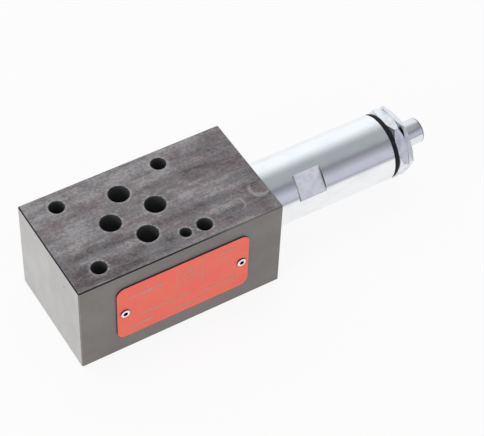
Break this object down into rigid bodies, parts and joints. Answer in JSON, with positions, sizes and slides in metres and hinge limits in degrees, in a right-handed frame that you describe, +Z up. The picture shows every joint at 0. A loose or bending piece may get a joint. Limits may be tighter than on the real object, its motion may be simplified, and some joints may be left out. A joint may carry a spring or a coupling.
{
  "type": "hydraulic sandwich valve",
  "caption": "Drilled steel block that stacks under a directional valve, with a riveted nameplate and a screw-in relief cartridge set by a locked adjusting screw.",
  "frame": {"origin": "centre of the port pattern, midway between the bolt pairs, on the bottom face", "axes": "+X along the length towards the cartridge, +Y away from the nameplate, +Z up through the stack"},
  "size_m": [0.1548, 0.0462, 0.04],
  "materials": {
    "block": "phosphated, satin",
    "nameplate": "satin red enamel",
    "rivets": "bright zinc",
    "housing": "satin zinc",
    "hexagons": "satin zinc",
    "hardened_steel": "ground",
    "springs": "oiled spring wire",
    "seals": "moulded",
    "lock_nut_seal": "moulded",
    "backup_rings": "cut"
  },
  "bodies": {
    "valve_body": {"valve_block": "block", "nameplate": "nameplate", "nameplate_rivets": "rivets", "interface_orings": "seals", "spring_housing": "housing", "housing_oring": "seals", "valve_sleeve": "hardened_steel", "sleeve_oring": "seals", "sleeve_backup_rings": "backup_rings", "main_spring": "springs", "pilot_seat": "hardened_steel", "pilot_seat_oring": "seals", "pilot_spring": "springs", "lock_nut_seal": "lock_nut_seal"},
    "spool": {"main_spool": "hardened_steel", "spool_orifice": "hardened_steel"},
    "poppet": {"pilot_poppet": "hardened_steel", "poppet_spring_plate": "hardened_steel"},
    "plunger": {"spring_plunger": "hardened_steel", "plunger_oring": "seals", "thrust_disc": "hardened_steel"},
    "screw": {"adjusting_screw": "hexagons"},
    "nut": {"lock_nut": "hexagons"}
  },
  "joints": [
    {"name": "plunger_travel", "type": "slide", "parent": "valve_body", "child": "plunger", "axis": [1, 0, 0], "range_m": [0, 0.008], "deforming": ["pilot_spring"]},
    {"name": "screw_turn", "type": "hinge", "parent": "plunger", "child": "screw", "pos_m": [0.1, 0, 0.02], "axis": [1, 0, 0], "range_deg": [0, 2880]},
    {"name": "lock_nut_turn", "type": "hinge", "parent": "valve_body", "child": "nut", "pos_m": [0.10838, 0, 0.02], "axis": [1, 0, 0], "range_deg": [0, 120]},
    {"name": "spool_lift", "type": "slide", "parent": "valve_body", "child": "spool", "axis": [1, 0, 0], "range_m": [0, 0.0035], "stiffness_N_per_m": 1500, "deforming": ["main_spring"]},
    {"name": "poppet_lift", "type": "slide", "parent": "valve_body", "child": "poppet", "axis": [1, 0, 0], "range_m": [0, 0.001], "stiffness_N_per_m": 12500, "deforming": ["pilot_spring"]}
  ],
  "couplings": [
    {"joint": "screw_turn", "follows": "plunger_travel", "rad_per_m": 6283.2}
  ]
}
